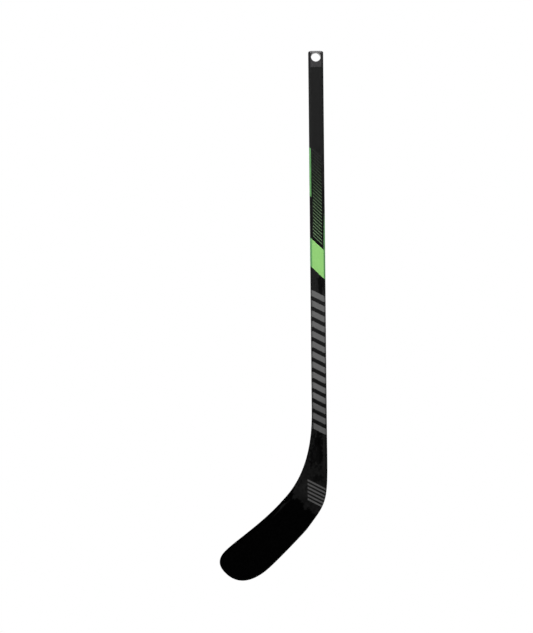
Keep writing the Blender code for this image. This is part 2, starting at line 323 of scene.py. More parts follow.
def ragged_patch(tree, under, place, noise, patch, depth, y=0.0):
    """Mixes a soft, ragged patch of another colour over a paint, from a row of a table of patches."""
    x, z, radius_x, radius_z, degrees, colour = patch
    from_middle = add_node(tree, "ShaderNodeMapping", {
        "vector_type": "TEXTURE",
        0: place,
        "Location": (x, y, z),
        "Rotation": (0, math.radians(degrees), 0),
        "Scale": (radius_x, depth, radius_z),
    })
    reach = add_node(tree, "ShaderNodeVectorMath", {"operation": "LENGTH", 0: from_middle})
    ragged = add_node(tree, "ShaderNodeMath", {
        "operation": "MULTIPLY_ADD", 0: noise, 1: PATCH_RAGGED, 2: reach,
    })
    share = add_node(tree, "ShaderNodeMapRange", {
        "interpolation_type": "SMOOTHSTEP",
        "Value": ragged,
        "From Min": PATCH_GONE + PATCH_RAGGED / 2,
        "From Max": PATCH_WHOLE + PATCH_RAGGED / 2,
    })
    return add_node(tree, "ShaderNodeMix", {"data_type": "RGBA", 0: share, 6: under, 7: colour})


# Satin black enamel, sprayed: a soft sheen, faintly grained, with a trace of orange peel.
shaft_paint, tree, shader, place = new_material("sprayed_satin_black_enamel")
height = add_node(tree, "ShaderNodeSeparateXYZ", {0: place}).outputs["Z"]
fade = add_node(tree, "ShaderNodeMapRange", {
    "Value": height, "From Min": CHARCOAL_BOTTOM, "From Max": BLACK_TOP,
})
grain = add_node(tree, "ShaderNodeTexNoise", {"Vector": place, "Scale": PAINT_GRAIN, "Detail": 3.0})
charcoal = add_node(tree, "ShaderNodeMix", {"data_type": "RGBA", 0: grain, 6: "#1e1e1e", 7: "#222222"})
colour = add_node(tree, "ShaderNodeMix", {"data_type": "RGBA", 0: fade, 6: charcoal, 7: "#0e0e0e"})
stretched = add_node(tree, "ShaderNodeVectorMath", {"operation": "MULTIPLY", 0: place, 1: PAINT_STREAKS})
streaks = add_node(tree, "ShaderNodeTexNoise", {"Vector": stretched, "Scale": 1.0, "Detail": 2.0})
for patch in SHAFT_PATCHES:
    colour = ragged_patch(tree, colour, place, streaks, patch, PATCH_DEPTH, -SHAFT_DEPTH / 2)
roughness = add_node(tree, "ShaderNodeMapRange", {"Value": grain, "To Min": 0.30, "To Max": 0.40})
peel = add_node(tree, "ShaderNodeTexNoise", {"Vector": place, "Scale": PAINT_PEEL, "Detail": 1.0})
bump = add_node(tree, "ShaderNodeBump", {"Strength": 0.12, "Distance": 0.00005, "Height": peel})
set_node(tree, shader, {
    "Base Color": colour, "Roughness": roughness, "Specular IOR Level": 0.35, "Normal": bump,
})

HEAD_BOTTOM = shaft_high.z + GLUE_GAP
tube_top = HEAD_BOTTOM - JOINT
tube_rings = [
    upright(shaft_outline(inset), height)
    for inset, height in (
        (SHAFT_WALL, shaft_low.z),
        (RIM_CHAMFER, shaft_low.z),
        (0.0, shaft_low.z + RIM_CHAMFER),
        (0.0, tube_top - RIM_CHAMFER),
        (RIM_CHAMFER, tube_top),
        (SHAFT_WALL, tube_top),
        (SHAFT_WALL, shaft_low.z),
    )
]
bm = loft(tube_rings, caps=False)
bmesh.ops.remove_doubles(bm, verts=bm.verts, dist=WELD)
bmesh.ops.recalc_face_normals(bm, faces=bm.faces)
shaft_tube = add_piece("painted_shaft_tube", bm, shaft_paint)
shade(shaft_tube)
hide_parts("shaft_tube")
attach(shaft_tube, "root")

# The butt plug: one moulding of dark grey polypropylene, with a round hole through its head to hang the
# stick by. Its ribbed stem is pushed and glued into the top of the shaft, until the head sits on the rim.
plug_low, plug_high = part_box("butt_plug")
HEAD_ROUND = 0.0016  # over the head's upper edges
HEAD_ROUND_STEPS = 12
HEAD_CHAMFER_HEIGHT = 0.0020  # off the top of the head's front and back
HEAD_CHAMFER_DEPTH = 0.0015
HEAD_CHAMFER_EASE = 0.0003
HOLE_RADIUS = 0.0048
HOLE_LIP = 0.00035  # how far the hole's two mouths are rounded
HOLE_SIDES = 128
LIP_STEPS = 6
LIP_TURN = math.radians(80)  # not all the way to the head's face, as two faces in one plane don't cut well
CUTTER_FLARE = 1.08  # how much wider than its lip the hole's cutter ends
CUTTER_REACH = 0.6  # how far from the middle it ends, in depths of the shaft
RIB_HEIGHT = 0.0005
RIB_WIDTH = 0.0012
FACE_RIBS = 3
STEM_WALL = 0.0012
STEM_FLOOR = 0.0040  # solid plastic between the hollow of the stem and the head
PLUG_GRAIN = 2600.0  # 0.4 mm each; a spark-eroded mould leaves 0.05 mm, which wouldn't show
PLUG_CLOUDS = 260.0  # 4 mm each, where the plastic flowed unevenly
PLUG_BEVEL_SHADE_START = 0.0050  # from the middle, sideways: the bevels are painted darker, a painted shade where they turn from the light
PLUG_BEVEL_SHADE_END = 0.0058
BORE_ROUGHNESS = 0.28  # polished by the pin that moulds it

# Grey polypropylene, moulded: a satin grain and a smoother bore, with painted shade that darkens the bevels.
plug_plastic, tree, shader, place = new_material("moulded_grey_polypropylene")
grain = add_node(tree, "ShaderNodeTexNoise", {"Vector": place, "Scale": PLUG_GRAIN, "Detail": 3.0})
clouds = add_node(tree, "ShaderNodeTexNoise", {"Vector": place, "Scale": PLUG_CLOUDS, "Detail": 2.0})
colour = add_node(tree, "ShaderNodeMix", {"data_type": "RGBA", 0: clouds, 6: "#393839", 7: "#3f3e3f"})
axes = add_node(tree, "ShaderNodeSeparateXYZ", {0: place}).outputs
sideways = add_node(tree, "ShaderNodeMath", {"operation": "ABSOLUTE", 0: axes["X"]})
bevel_shade = add_node(tree, "ShaderNodeMapRange", {
    "Value": sideways, "From Min": PLUG_BEVEL_SHADE_START, "From Max": PLUG_BEVEL_SHADE_END,
})
# painted shade: a darker grey on the bevels
colour = add_node(tree, "ShaderNodeMix", {"data_type": "RGBA", 0: bevel_shade, 6: colour, 7: "#262526"})
satin = add_node(tree, "ShaderNodeMapRange", {"Value": grain, "To Min": 0.38, "To Max": 0.54})
across = add_node(tree, "ShaderNodeVectorMath", {"operation": "MULTIPLY", 0: place, 1: (1, 0, 1)})
from_axis = add_node(tree, "ShaderNodeVectorMath", {"operation": "LENGTH", 0: across})
in_bore = add_node(tree, "ShaderNodeMapRange", {
    "Value": from_axis, "From Min": HOLE_RADIUS + HOLE_LIP, "From Max": HOLE_RADIUS,
})
roughness = add_node(tree, "ShaderNodeMix", {"Factor": in_bore, "A": satin, "B": BORE_ROUGHNESS})
bump = add_node(tree, "ShaderNodeBump", {"Strength": 0.35, "Distance": 0.00003, "Height": grain})
set_node(tree, shader, {
    "Base Color": colour, "Roughness": roughness, "Specular IOR Level": 0.4, "Normal": bump,
})


def stem_bar(width, depth, bottom, top, x=0.0):
    """An upright square bar, with its middle this far to the side."""
    corners = ((-1, -1), (1, -1), (1, 1), (-1, 1))
    outline = [Vector((x + sx * width / 2, sy * depth / 2)) for sx, sy in corners]
    return loft([upright(outline, bottom), upright(outline, top)])


def head_half_depth(height):
    """Half the head's depth at this height: less where the chamfers take it off."""
    into_chamfer = height - (plug_high.z - HEAD_CHAMFER_HEIGHT)
    eased = (into_chamfer + math.hypot(into_chamfer, HEAD_CHAMFER_EASE)) / 2
    return SHAFT_DEPTH / 2 - HEAD_CHAMFER_DEPTH / HEAD_CHAMFER_HEIGHT * eased


head_rings = [upright(shaft_outline(), HEAD_BOTTOM)]
chamfer_start = plug_high.z - HEAD_CHAMFER_HEIGHT - 2 * HEAD_CHAMFER_EASE
for step in range(HEAD_ROUND_STEPS + 1):
    height = chamfer_start + (plug_high.z - chamfer_start) * math.sin(math.pi / 2 * step / HEAD_ROUND_STEPS)
    into_round = min(HEAD_ROUND, max(0.0, height - (plug_high.z - HEAD_ROUND)))
    inset = HEAD_ROUND - math.sqrt(HEAD_ROUND**2 - into_round**2)
    squeeze = head_half_depth(height) / (SHAFT_DEPTH / 2 - inset)
    head_rings.append([(point.x, squeeze * point.y, height) for point in shaft_outline(inset)])
butt_plug = add_piece("moulded_butt_plug", loft(head_rings), plug_plastic)

stem_width = SHAFT_WIDTH - 2 * SHAFT_WALL - 2 * GLUE_GAP
stem_depth = SHAFT_DEPTH - 2 * SHAFT_WALL - 2 * GLUE_GAP
core_width = stem_width - 2 * RIB_HEIGHT
core_depth = stem_depth - 2 * RIB_HEIGHT
stem_outline = shaft_outline(SHAFT_WALL + GLUE_GAP + RIB_HEIGHT)
stem_top = HEAD_BOTTOM + STEM_FLOOR / 2
rib_bottom = plug_low.z + STEM_WALL
stem_parts = [loft([upright(stem_outline, plug_low.z), upright(stem_outline, stem_top)])]
stem_parts.append(stem_bar(stem_width, RIB_WIDTH, rib_bottom, stem_top))
for i in range(FACE_RIBS):
    rib_x = (i - (FACE_RIBS - 1) / 2) * core_width / FACE_RIBS
    stem_parts.append(stem_bar(RIB_WIDTH, stem_depth, rib_bottom, stem_top, rib_x))
pocket = stem_bar(
    core_width - 2 * STEM_WALL,
    core_depth - 2 * STEM_WALL,
    plug_low.z - STEM_WALL,
    HEAD_BOTTOM - STEM_FLOOR,
)

hole_rings = []
for side in (-1, 1):
    mouth = []
    for step in range(LIP_STEPS + 1):
        turn = LIP_TURN * step / LIP_STEPS
        ring = []
        for i in range(HOLE_SIDES):
            around = 2 * math.pi * i / HOLE_SIDES
            lip_depth = head_half_depth((HOLE_RADIUS + HOLE_LIP / 2) * math.sin(around)) - HOLE_LIP
            radius = HOLE_RADIUS + HOLE_LIP * (1 - math.cos(turn))
            out = lip_depth + HOLE_LIP * math.sin(turn) / math.sin(LIP_TURN)
            ring.append((radius * math.cos(around), side * out, radius * math.sin(around)))
        mouth.append(ring)
    far_out = side * SHAFT_DEPTH * CUTTER_REACH
    mouth.append([(x * CUTTER_FLARE, far_out, z * CUTTER_FLARE) for x, y, z in mouth[-1]])
    hole_rings += mouth[::-1] if side < 0 else mouth

cuts = [("UNION", part) for part in stem_parts]
cuts += [("DIFFERENCE", part) for part in (pocket, loft(hole_rings))]
helpers = []
for operation, part in cuts:
    helpers.append(add_piece("plug_helper", part))
    modifier = butt_plug.modifiers.new(operation.lower(), "BOOLEAN")
    modifier.operation = operation
    modifier.object = helpers[-1]
apply_modifiers(butt_plug)
for helper in helpers:
    bpy.data.objects.remove(helper)
shade(butt_plug)
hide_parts("butt_plug")
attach(butt_plug, "root")

# The tenon: a stub of beech, planed to slide into the shaft's bore and glued there. Its lower half stands out
# of the tube and is clamped between the blade's shells, so only its end grain and a seam of glue would show.
BEECH_FLECKS = (900.0, 900.0, 45.0)  # 1.1 mm across and 22 mm long; its pores are finer and wouldn't show
BEECH_RINGS = 90.0  # rings 3.5 mm apart, as a wave's length is 0.314 over its scale
FLECK_START = 0.58  # where a noise starts to count as a fleck, and where it is one
FLECK_FULL = 0.70

# Beech, planed: a pale warm wood with fine dark flecks along its length.
beech, tree, shader, place = new_material("planed_beech")
stretched = add_node(tree, "ShaderNodeVectorMath", {"operation": "MULTIPLY", 0: place, 1: BEECH_FLECKS})
flecks = add_node(tree, "ShaderNodeTexNoise", {"Vector": stretched, "Scale": 1.0, "Detail": 4.0})
rings = add_node(tree, "ShaderNodeTexWave", {
    "Vector": place, "Scale": BEECH_RINGS, "Distortion": 3.0, "Detail": 2.0,
}).outputs["Fac"]
wood = add_node(tree, "ShaderNodeMix", {"data_type": "RGBA", 0: rings, 6: "#c99b6d", 7: "#dab68a"})
fleck_share = add_node(tree, "ShaderNodeMapRange", {
    "Value": flecks, "From Min": FLECK_START, "From Max": FLECK_FULL,
})
colour = add_node(tree, "ShaderNodeMix", {"data_type": "RGBA", 0: fleck_share, 6: wood, 7: "#a9764a"})
roughness = add_node(tree, "ShaderNodeMapRange", {"Value": flecks, "To Min": 0.55, "To Max": 0.75})
bump = add_node(tree, "ShaderNodeBump", {"Strength": 0.3, "Distance": 0.00005, "Height": flecks})
set_node(tree, shader, {"Base Color": colour, "Roughness": roughness, "Normal": bump})
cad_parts["neck_tenon"].material_slots[0].material = beech

# The core: rigid closed-cell foam, milled to the shape of the space inside the blade. The shells are laid
# over it and glued to it. Its skin is all cut cells, half a millimetre wide.
FOAM_CELL = 0.0005

# Rigid foam, milled: off-white and dull, pitted by its cells.
foam, tree, shader, place = new_material("milled_rigid_foam")
cells = add_node(tree, "ShaderNodeTexVoronoi", {"Vector": place, "Scale": 1 / FOAM_CELL}).outputs["Distance"]
colour = add_node(tree, "ShaderNodeMix", {"data_type": "RGBA", 0: cells, 6: "#d9d4c6", 7: "#efebe0"})
roughness = add_node(tree, "ShaderNodeMapRange", {"Value": cells, "To Min": 0.95, "To Max": 0.80})
bump = add_node(tree, "ShaderNodeBump", {"Strength": 0.6, "Distance": 0.0001, "Height": cells})
set_node(tree, shader, {"Base Color": colour, "Roughness": roughness, "Normal": bump})
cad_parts["blade_core"].material_slots[0].material = foam

# Neck and blade: two moulded shells of short-fibre composite, glued to each other round core and tenon. The
# blade is left as it comes out of the mould, black and dull. The neck is sprayed, and the spray ends ragged
# at the heel. A broad bevel runs down the upper edge from the shaft's corner.
NECK_TOP = shaft_low.z - JOINT
NECK_LENGTH = 0.0973  # down to the heel's corner, where the lower edges of shaft and blade would meet
BLADE_DROP = 44.3  # degrees from level
BLADE_LENGTH = 0.11645  # from the heel's corner to the tip; other places along the blade start there too
BLADE_START = 0.0280
BLADE_THICKNESS = 0.0056
TOE_THICKNESS = 0.0046
HEEL_BEVEL = Vector((0.0040, 0.0010))  # what this one and the next take off the face and off the edge
BLADE_BEVEL = Vector((0.0014, 0.0014))
BLADE_EASE = 0.0007
HEEL_HEIGHT = 0.0382  # square to the blade's length, as all heights on it
TOE_HEIGHT = 0.0430
TIP_HEIGHT = 0.0302
BOTTOM_ROCKER = 0.0008
TOE_TOP_ROUND = 0.0228  # how far before the tip the toe's upper and its lower round start
TOE_BOTTOM_ROUND = 0.0288
CURVE_DEPTH = 0.0080
SKIN = 0.0010
STATIONS = (48, 24, 42)  # along the neck, the blade and the toe
FACE_STEPS = 10
GRIT = 1500.0  # 0.7 mm each; the mould's grit is finer and wouldn't show
MOTTLE = 420.0  # 2.4 mm each, the spray's clouds
BLOTCHES = 650.0  # 1.5 mm each, the tatters of its end
NOISE_LOW = 0.35  # nearly all of a noise lies between these two
NOISE_HIGH = 0.65
MOTTLE_DEPTH = 0.3  # how much darker or lighter than its own colour the spray gets
BARE_DARK = 0.4  # up to here the blotches leave the bare composite black, and from the next it is palest
BARE_PALE = 0.75
SPRAY_END = 0.0122  # along the blade, at its lower edge
SPRAY_END_SLOPE = 0.03
SPRAY_RAGGED = 0.0013  # how far the torn end reaches either way
SPRAY_SOFT = 0.0004
SPRAY_DEPTH = 0.02  # so deep that its patches show on both faces
SPRAY_AND_HIGHLIGHT_PATCHES = (
    # as the shaft's: where the spray is thin or thick, and two thin lighter lines, down the neck's far crease
    # and along the heel's crease, that are painted highlights
    (-0.0014, -0.3870, 0.0050, 0.0150, 0, "#070707"),
    (-0.0028, -0.3990, 0.0076, 0.0105, 0, "#0a0a0a"),
    (-0.0030, -0.4219, 0.0068, 0.0032, 0, "#0b0b0b"),
    (-0.0160, -0.4300, 0.0090, 0.0095, 0, "#191919"),
    # painted highlight: a thin lighter line down the neck's far crease
    (0.0042, -0.3950, 0.0010, 0.0240, 0, "#1a1a1a"),
    (-0.0008, -0.3858, 0.0018, 0.0030, 0, "#030303"),
    (0.0008, -0.3990, 0.0020, 0.0130, 0, "#060606"),
    (-0.0080, -0.4040, 0.0012, 0.0080, 10, "#080808"),
    (-0.0052, -0.3985, 0.0016, 0.0045, 0, "#101010"),
    (-0.0302, -0.4378, 0.0150, 0.0020, -52, "#030303"),
    # painted highlight: a thin lighter line along the heel's crease
    (-0.0222, -0.4279, 0.0190, 0.0008, -61, "#181818"),
)
STRAY_SPRAY_AND_GLINT = (
    # how far along the blade and above its lower edge, radii, colour: two thin lighter streaks on the crease,
    # a painted highlight, then two spots of stray spray on the face
    # painted highlight: a glint along the blade's upper crease
    (0.0310, 0.0339, 0.0130, 0.0006, "#0e0e0e"),
    (0.0295, 0.0348, 0.0045, 0.0010, "#141414"),
    (0.0130, 0.0178, 0.0034, 0.0028, "#141414"),
    (0.0142, 0.0325, 0.0030, 0.0026, "#161616"),
)

HEEL = Vector((SHAFT_WIDTH / 2, shaft_low.z - GLUE_GAP - NECK_LENGTH))
drop = math.radians(BLADE_DROP)
ALONG = Vector((-math.cos(drop), -math.sin(drop)))
ABOVE = Vector((-math.sin(drop), math.cos(drop)))


def on_blade(along, above):
    """The point this far along the blade from the heel's corner, and this far above its lower edge."""
    return HEEL + along * ALONG + above * ABOVE


def edge_line(start, stretches):
    """Points along one edge of neck and blade, from the joint on to the tip, each with its direction.

    Each stretch is a curve: where it ends, its slope there, and how far its two handles reach from its
    start and back from its end, as shares of the straight way between them.
    """
    line = [(start, Vector((0, -1)))]
    for steps, (end, slope, reach_on, reach_back) in zip(STATIONS, stretches):
        begin, leaving = line[-1]
        arriving = math.cos(slope) * ALONG + math.sin(slope) * ABOVE
        way = (end - begin).length
        on = begin + reach_on * way * leaving
        back = end - reach_back * way * arriving
        points = [Vector(point) for point in interpolate_bezier(begin, on, back, end, steps + 1)]
        line += [(points[i], (points[i + 1] - points[i - 1]).normalized()) for i in range(1, steps)]
        line.append((end, arriving))
    return line


tip = on_blade(BLADE_LENGTH, TIP_HEIGHT)
upper_edge = edge_line(
    Vector((-SHAFT_WIDTH / 2, NECK_TOP)),
    (
        (on_blade(BLADE_START, HEEL_HEIGHT), math.radians(-3.7), 0.64, 0.105),
        (on_blade(BLADE_LENGTH - TOE_TOP_ROUND, TOE_HEIGHT), math.radians(4.2), 0.36, 0.15),
        (tip, math.radians(-87), 0.29, 0.61),
    ),
)
lower_edge = edge_line(
    Vector((SHAFT_WIDTH / 2, NECK_TOP)),
    (
        (on_blade(BLADE_START, BOTTOM_ROCKER), math.radians(-8.5), 0.78, 0.335),
        (on_blade(BLADE_LENGTH - TOE_BOTTOM_ROUND, BOTTOM_ROCKER), math.radians(8.3), 0.083, 0.183),
        (tip, math.radians(93), 0.58, 0.32),
    ),
)


def shape_at(station):
    """Half the thickness, the bevels of the upper and the lower edge, and their ease, at a station.

    The shape turns from the shaft's to the blade's down the neck, and thins on to the tip.
    """
    neck, blade, toe = STATIONS
    if station <= neck:
        share = station / neck
        turn = share * share * (3 - 2 * share)
        half = (SHAFT_DEPTH + (BLADE_THICKNESS - SHAFT_DEPTH) * turn) / 2
        ease = SHAFT_EASE + (BLADE_EASE - SHAFT_EASE) * turn
        return half, SHAFT_BEVEL.lerp(HEEL_BEVEL, turn), SHAFT_BEVEL.lerp(BLADE_BEVEL, turn), ease
    share = (station - neck) / (blade + toe)
    half = (BLADE_THICKNESS + (TOE_THICKNESS - BLADE_THICKNESS) * share) / 2
    return half, HEEL_BEVEL.lerp(BLADE_BEVEL, share), BLADE_BEVEL, BLADE_EASE


def bend(point):
    """How far the blade's curve carries this point towards the forehand side."""
    along = max(0.0, (point - HEEL).dot(ALONG))
    return -CURVE_DEPTH * (along / BLADE_LENGTH) ** 2


def face_line(station, inset, side):
    """The line over one face of a section, from the seam at its upper edge to the one at its lower edge."""
    half, upper_bevel, lower_bevel, ease = shape_at(station)
    (top, top_way), (bottom, bottom_way) = upper_edge[station], lower_edge[station]
    top_in = Vector((-top_way.y, top_way.x))
    bottom_in = Vector((bottom_way.y, -bottom_way.x))
    seam = Vector((inset, JOINT / 2))
    upper, lower = [
        [(edge + inwards * x, out) for x, out in [seam] + edge_profile(half, bevel, ease, inset)]
        for edge, inwards, bevel in ((top, top_in, upper_bevel), (bottom, bottom_in, lower_bevel))
    ]
    across = [
        (upper[-1][0].lerp(lower[-1][0], step / FACE_STEPS), half - inset) for step in range(1, FACE_STEPS)
    ]
    return [(point.x, side * out + bend(point), point.y) for point, out in upper + across + lower[::-1]]


def shell(side):
    """One shell, on the forehand side (-1) or the backhand side (1).

    Each of its sections goes over the outer face and back over the inner one.
    """
    sections = []
    for station in range(sum(STATIONS) + 1):
        sections.append(face_line(station, 0.0, side) + face_line(station, SKIN, side)[::-1])
    bm = loft(sections, caps=False)
    bm.verts.ensure_lookup_table()
    first = bm.verts[: len(sections[0])]
    for i in range(len(first) // 2 - 1):
        bm.faces.new((first[i], first[i + 1], first[-2 - i], first[-1 - i]))
    bmesh.ops.remove_doubles(bm, verts=bm.verts, dist=WELD)
    bmesh.ops.recalc_face_normals(bm, faces=bm.faces)
    return bm


# Black composite, moulded: very dark and dull, faintly gritty. The spray on it is a mottled charcoal.
blade_composite, tree, shader, place = new_material("moulded_black_composite")
from_heel = add_node(tree, "ShaderNodeVectorMath", {
    "operation": "SUBTRACT", 0: place, 1: (HEEL.x, 0, HEEL.y),
})
past_heel = ALONG - SPRAY_END_SLOPE * ABOVE
past_spray = add_node(tree, "ShaderNodeVectorMath", {
    "operation": "DOT_PRODUCT", 0: from_heel, 1: (past_heel.x, 0, past_heel.y),
})
grit = add_node(tree, "ShaderNodeTexNoise", {"Vector": place, "Scale": GRIT, "Detail": 3.0})
mottle = add_node(tree, "ShaderNodeTexNoise", {"Vector": place, "Scale": MOTTLE, "Detail": 3.0})
blotches = add_node(tree, "ShaderNodeTexNoise", {"Vector": place, "Scale": BLOTCHES, "Detail": 2.0})
torn = add_node(tree, "ShaderNodeMapRange", {
    "Value": blotches,
    "From Min": NOISE_LOW,
    "From Max": NOISE_HIGH,
    "To Min": -SPRAY_RAGGED,
    "To Max": SPRAY_RAGGED,
})
ragged = add_node(tree, "ShaderNodeMath", {"operation": "ADD", 0: torn, 1: past_spray})
sprayed = add_node(tree, "ShaderNodeMapRange", {
    "Value": ragged, "From Min": SPRAY_END + SPRAY_SOFT, "From Max": SPRAY_END - SPRAY_SOFT,
})
spray = add_node(tree, "ShaderNodeMix", {"data_type": "RGBA", 0: mottle, 6: "#121212", 7: "#161616"})
for patch in SPRAY_AND_HIGHLIGHT_PATCHES:
    spray = ragged_patch(tree, spray, place, mottle, patch, SPRAY_DEPTH)
clouds = add_node(tree, "ShaderNodeMapRange", {
    "Value": mottle,
    "From Min": NOISE_LOW,
    "From Max": NOISE_HIGH,
    "To Min": 1 - MOTTLE_DEPTH,
    "To Max": 1 + MOTTLE_DEPTH,
})
spray = add_node(tree, "ShaderNodeMix", {
    "data_type": "RGBA", "blend_type": "MULTIPLY", 0: 1.0, 6: spray, 7: clouds,
})
bare_share = add_node(tree, "ShaderNodeMapRange", {
    "Value": blotches, "From Min": BARE_DARK, "From Max": BARE_PALE,
})
bare = add_node(tree, "ShaderNodeMix", {"data_type": "RGBA", 0: bare_share, 6: "#000000", 7: "#030303"})
for along, above, radius_along, radius_above, spot_colour in STRAY_SPRAY_AND_GLINT:
    spot = on_blade(along, above)
    patch = (spot.x, spot.y, radius_along, radius_above, -BLADE_DROP, spot_colour)
    bare = ragged_patch(tree, bare, place, blotches, patch, SPRAY_DEPTH)
colour = add_node(tree, "ShaderNodeMix", {"data_type": "RGBA", 0: sprayed, 6: bare, 7: spray})
roughness = add_node(tree, "ShaderNodeMapRange", {"Value": grit, "To Min": 0.40, "To Max": 0.55})
bump = add_node(tree, "ShaderNodeBump", {"Strength": 0.25, "Distance": 0.00005, "Height": grit})
set_node(tree, shader, {
    "Base Color": colour, "Roughness": roughness, "Specular IOR Level": 0.03, "Normal": bump,
})

blade_shells = []
for side, word in ((-1, "forehand"), (1, "backhand")):
    blade_shell = add_piece(f"moulded_{word}_shell", shell(side), blade_composite)
    shade(blade_shell)
    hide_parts(f"blade_{word}_skin")
    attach(blade_shell, "root")
    blade_shells.append(blade_shell)

# The green: bright enamel sprayed over tape. It makes a slanted band right round the shaft, a long patch on
# the bevel and the narrow side towards the blade, and on the other side a mist that thickens into the band.
INK_THICKNESS = 0.00004
BAND_SLOPE = math.tan(math.radians(44.0))
BAND_TOP = -0.18795  # on the middle of the front face, as the next
BAND_BOTTOM = -0.21645
LEFT_PATCH_TOP = -0.0906
LEFT_PATCH_BOTTOM = -0.1420
LEFT_PATCH_END_CUT = 0.0014  # how far its slanted ends cut in at the crease
LEFT_PATCH_END_SLOPE = 1.0
LEFT_PATCH_PAST_CREASE = 0.0002
MIST_TOP = -0.1500
MIST_BOTTOM = -0.1760
MIST_PAST_CREASE = 0.00095  # at its top
MIST_TAPER = 0.02
BEVEL_SHADE_REACH = 0.0002  # how far either way of the crease the painted shade on the bevels fades in
crease = SHAFT_WIDTH / 2 - SHAFT_BEVEL.x

# Green enamel, sprayed: bright and even with a satin sheen. On the bevels it is painted a darker, bluer
# green, a painted shade.
green_enamel, tree, shader, place = new_material("sprayed_green_enamel")
axes = add_node(tree, "ShaderNodeSeparateXYZ", {0: place}).outputs
grain = add_node(tree, "ShaderNodeTexNoise", {"Vector": place, "Scale": PAINT_GRAIN, "Detail": 3.0})
green = add_node(tree, "ShaderNodeMix", {"data_type": "RGBA", 0: grain, 6: "#8eca73", 7: "#9bd97f"})
mist = add_node(tree, "ShaderNodeMapRange", {
    "interpolation_type": "SMOOTHSTEP", "Value": axes["Z"], "From Min": MIST_TOP, "From Max": MIST_BOTTOM,
})
on_blade_side = add_node(tree, "ShaderNodeMath", {"operation": "LESS_THAN", 0: axes["X"], 1: 0.0})
cover = add_node(tree, "ShaderNodeMath", {"operation": "MAXIMUM", 0: mist, 1: on_blade_side})
sideways = add_node(tree, "ShaderNodeMath", {"operation": "ABSOLUTE", 0: axes["X"]})
bevel_shade = add_node(tree, "ShaderNodeMapRange", {
    "Value": sideways, "From Min": crease - BEVEL_SHADE_REACH, "From Max": crease + BEVEL_SHADE_REACH,
})
# painted shade: a darker green on the bevels
green = add_node(tree, "ShaderNodeMix", {"data_type": "RGBA", 0: bevel_shade, 6: green, 7: "#77bc73"})
colour = add_node(tree, "ShaderNodeMix", {"data_type": "RGBA", 0: cover, 6: "#1f1f1f", 7: green})
roughness = add_node(tree, "ShaderNodeMapRange", {"Value": grain, "To Min": 0.32, "To Max": 0.42})
set_node(tree, shader, {"Base Color": colour, "Roughness": roughness, "Specular IOR Level": 0.35})


def thicken(film):
    """Gives a film its thickness, outwards, and makes it a plain mesh."""
    modifier = film.modifiers.new("thickness", "SOLIDIFY")
    modifier.thickness = INK_THICKNESS
    modifier.offset = 1.0
    apply_modifiers(film)


def paint_film(name, top, bottom, tapes):
    """A film of the green round the shaft between two heights, less what lies beyond the tapes.

    Each tape is a point on a plane and the direction away from the part that stays.
    """
    outline = shaft_outline()
    bm = loft([upright(outline, bottom), upright(outline, top)], caps=False)
    for point, away in tapes:
        everything = bm.verts[:] + bm.edges[:] + bm.faces[:]
        bmesh.ops.bisect_plane(bm, geom=everything, plane_co=point, plane_no=away, clear_outer=True)
    film = add_piece(name, bm, green_enamel)
    thicken(film)
    shade(film)
    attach(film, "root")


band_up = Vector((BAND_SLOPE, 0, 1))
patch_end = Vector((LEFT_PATCH_END_SLOPE, 0, 1))
paint_film(
    "green_band",
    BAND_TOP + BAND_SLOPE * SHAFT_WIDTH,
    BAND_BOTTOM - BAND_SLOPE * SHAFT_WIDTH,
    (((0, 0, BAND_TOP), band_up), ((0, 0, BAND_BOTTOM), -band_up)),
)
paint_film(
    "green_patch_blade_side",
    LEFT_PATCH_TOP,
    LEFT_PATCH_BOTTOM,
    (
        ((-crease - LEFT_PATCH_PAST_CREASE, 0, 0), (1, 0, 0)),
        ((-crease, 0, LEFT_PATCH_TOP - LEFT_PATCH_END_CUT), patch_end),
        ((-crease, 0, LEFT_PATCH_BOTTOM + LEFT_PATCH_END_CUT), -patch_end),
    ),
)
paint_film(
    "green_mist_far_side",
    MIST_TOP,
    BAND_TOP - BAND_SLOPE * SHAFT_WIDTH,
    (((crease + MIST_PAST_CREASE, 0, MIST_TOP), (-1, 0, MIST_TAPER)), ((0, 0, BAND_TOP), -band_up)),
)

# The hatching and the bars: screen-printed strokes, dark green ones above the band and grey bars below it,
# on both broad faces. The last two bars lie on the neck. Each is a row of equal slanted strokes.
HATCH_COUNT = 27
HATCH_PITCH = 0.00333
HATCH_STROKE = 0.0008  # upright, so that the line itself is 0.6 mm
HATCH_SLOPE = math.tan(math.radians(43.5))
HATCH_LEFT = -0.0045
HATCH_RIGHT = 0.00445
HATCH_TOP = -0.0925
HATCH_BOTTOM = -0.1780
HATCH_COLUMNS = 2
BAR_COUNT = 14
BAR_PITCH = 0.0102
BAR_STROKE = 0.0060
BAR_SLOPE = math.tan(math.radians(27.5))
BAR_LEFT = -0.0079
BAR_RIGHT = 0.0100
BAR_TOP = -0.2366
BAR_COLUMNS = 60
BAR_DULL_START = -0.340  # the bars turn duller from here on down to the next height, where the neck starts
BAR_DULL_FULL = -0.350
INK_GRAIN = 1400.0  # 0.7 mm each, as a screen's mesh leaves it


def new_geometry_tree(name, inputs):
    """A new tree of Geometry Nodes with inputs of these kinds and names, and what they give it."""
    tree = bpy.data.node_groups.new(name, "GeometryNodeTree")
    for kind, input_names in inputs.items():
        for input_name in input_names:
            tree.interface.new_socket(input_name, in_out="INPUT", socket_type=f"NodeSocket{kind}")
    tree.interface.new_socket("Geometry", in_out="OUTPUT", socket_type="NodeSocketGeometry")
    return tree, add_node(tree, "NodeGroupInput").outputs


def print_film(name, tree, settings):
    """A film of ink that this tree of Geometry Nodes lays on the painted stick, with these settings."""
    film = bpy.data.objects.new(name, bpy.data.meshes.new(name))
    bpy.context.scene.collection.objects.link(film)
    modifier = film.modifiers.new("print", "NODES")
    modifier.node_group = tree
    settings = {"Shaft Outline": guide, "Surface": printed_on, **settings}
    for socket in tree.interface.items_tree:
        if socket.in_out == "INPUT":
            modifier[socket.identifier] = settings[socket.name]
    thicken(film)
    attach(film, "root")
    return film


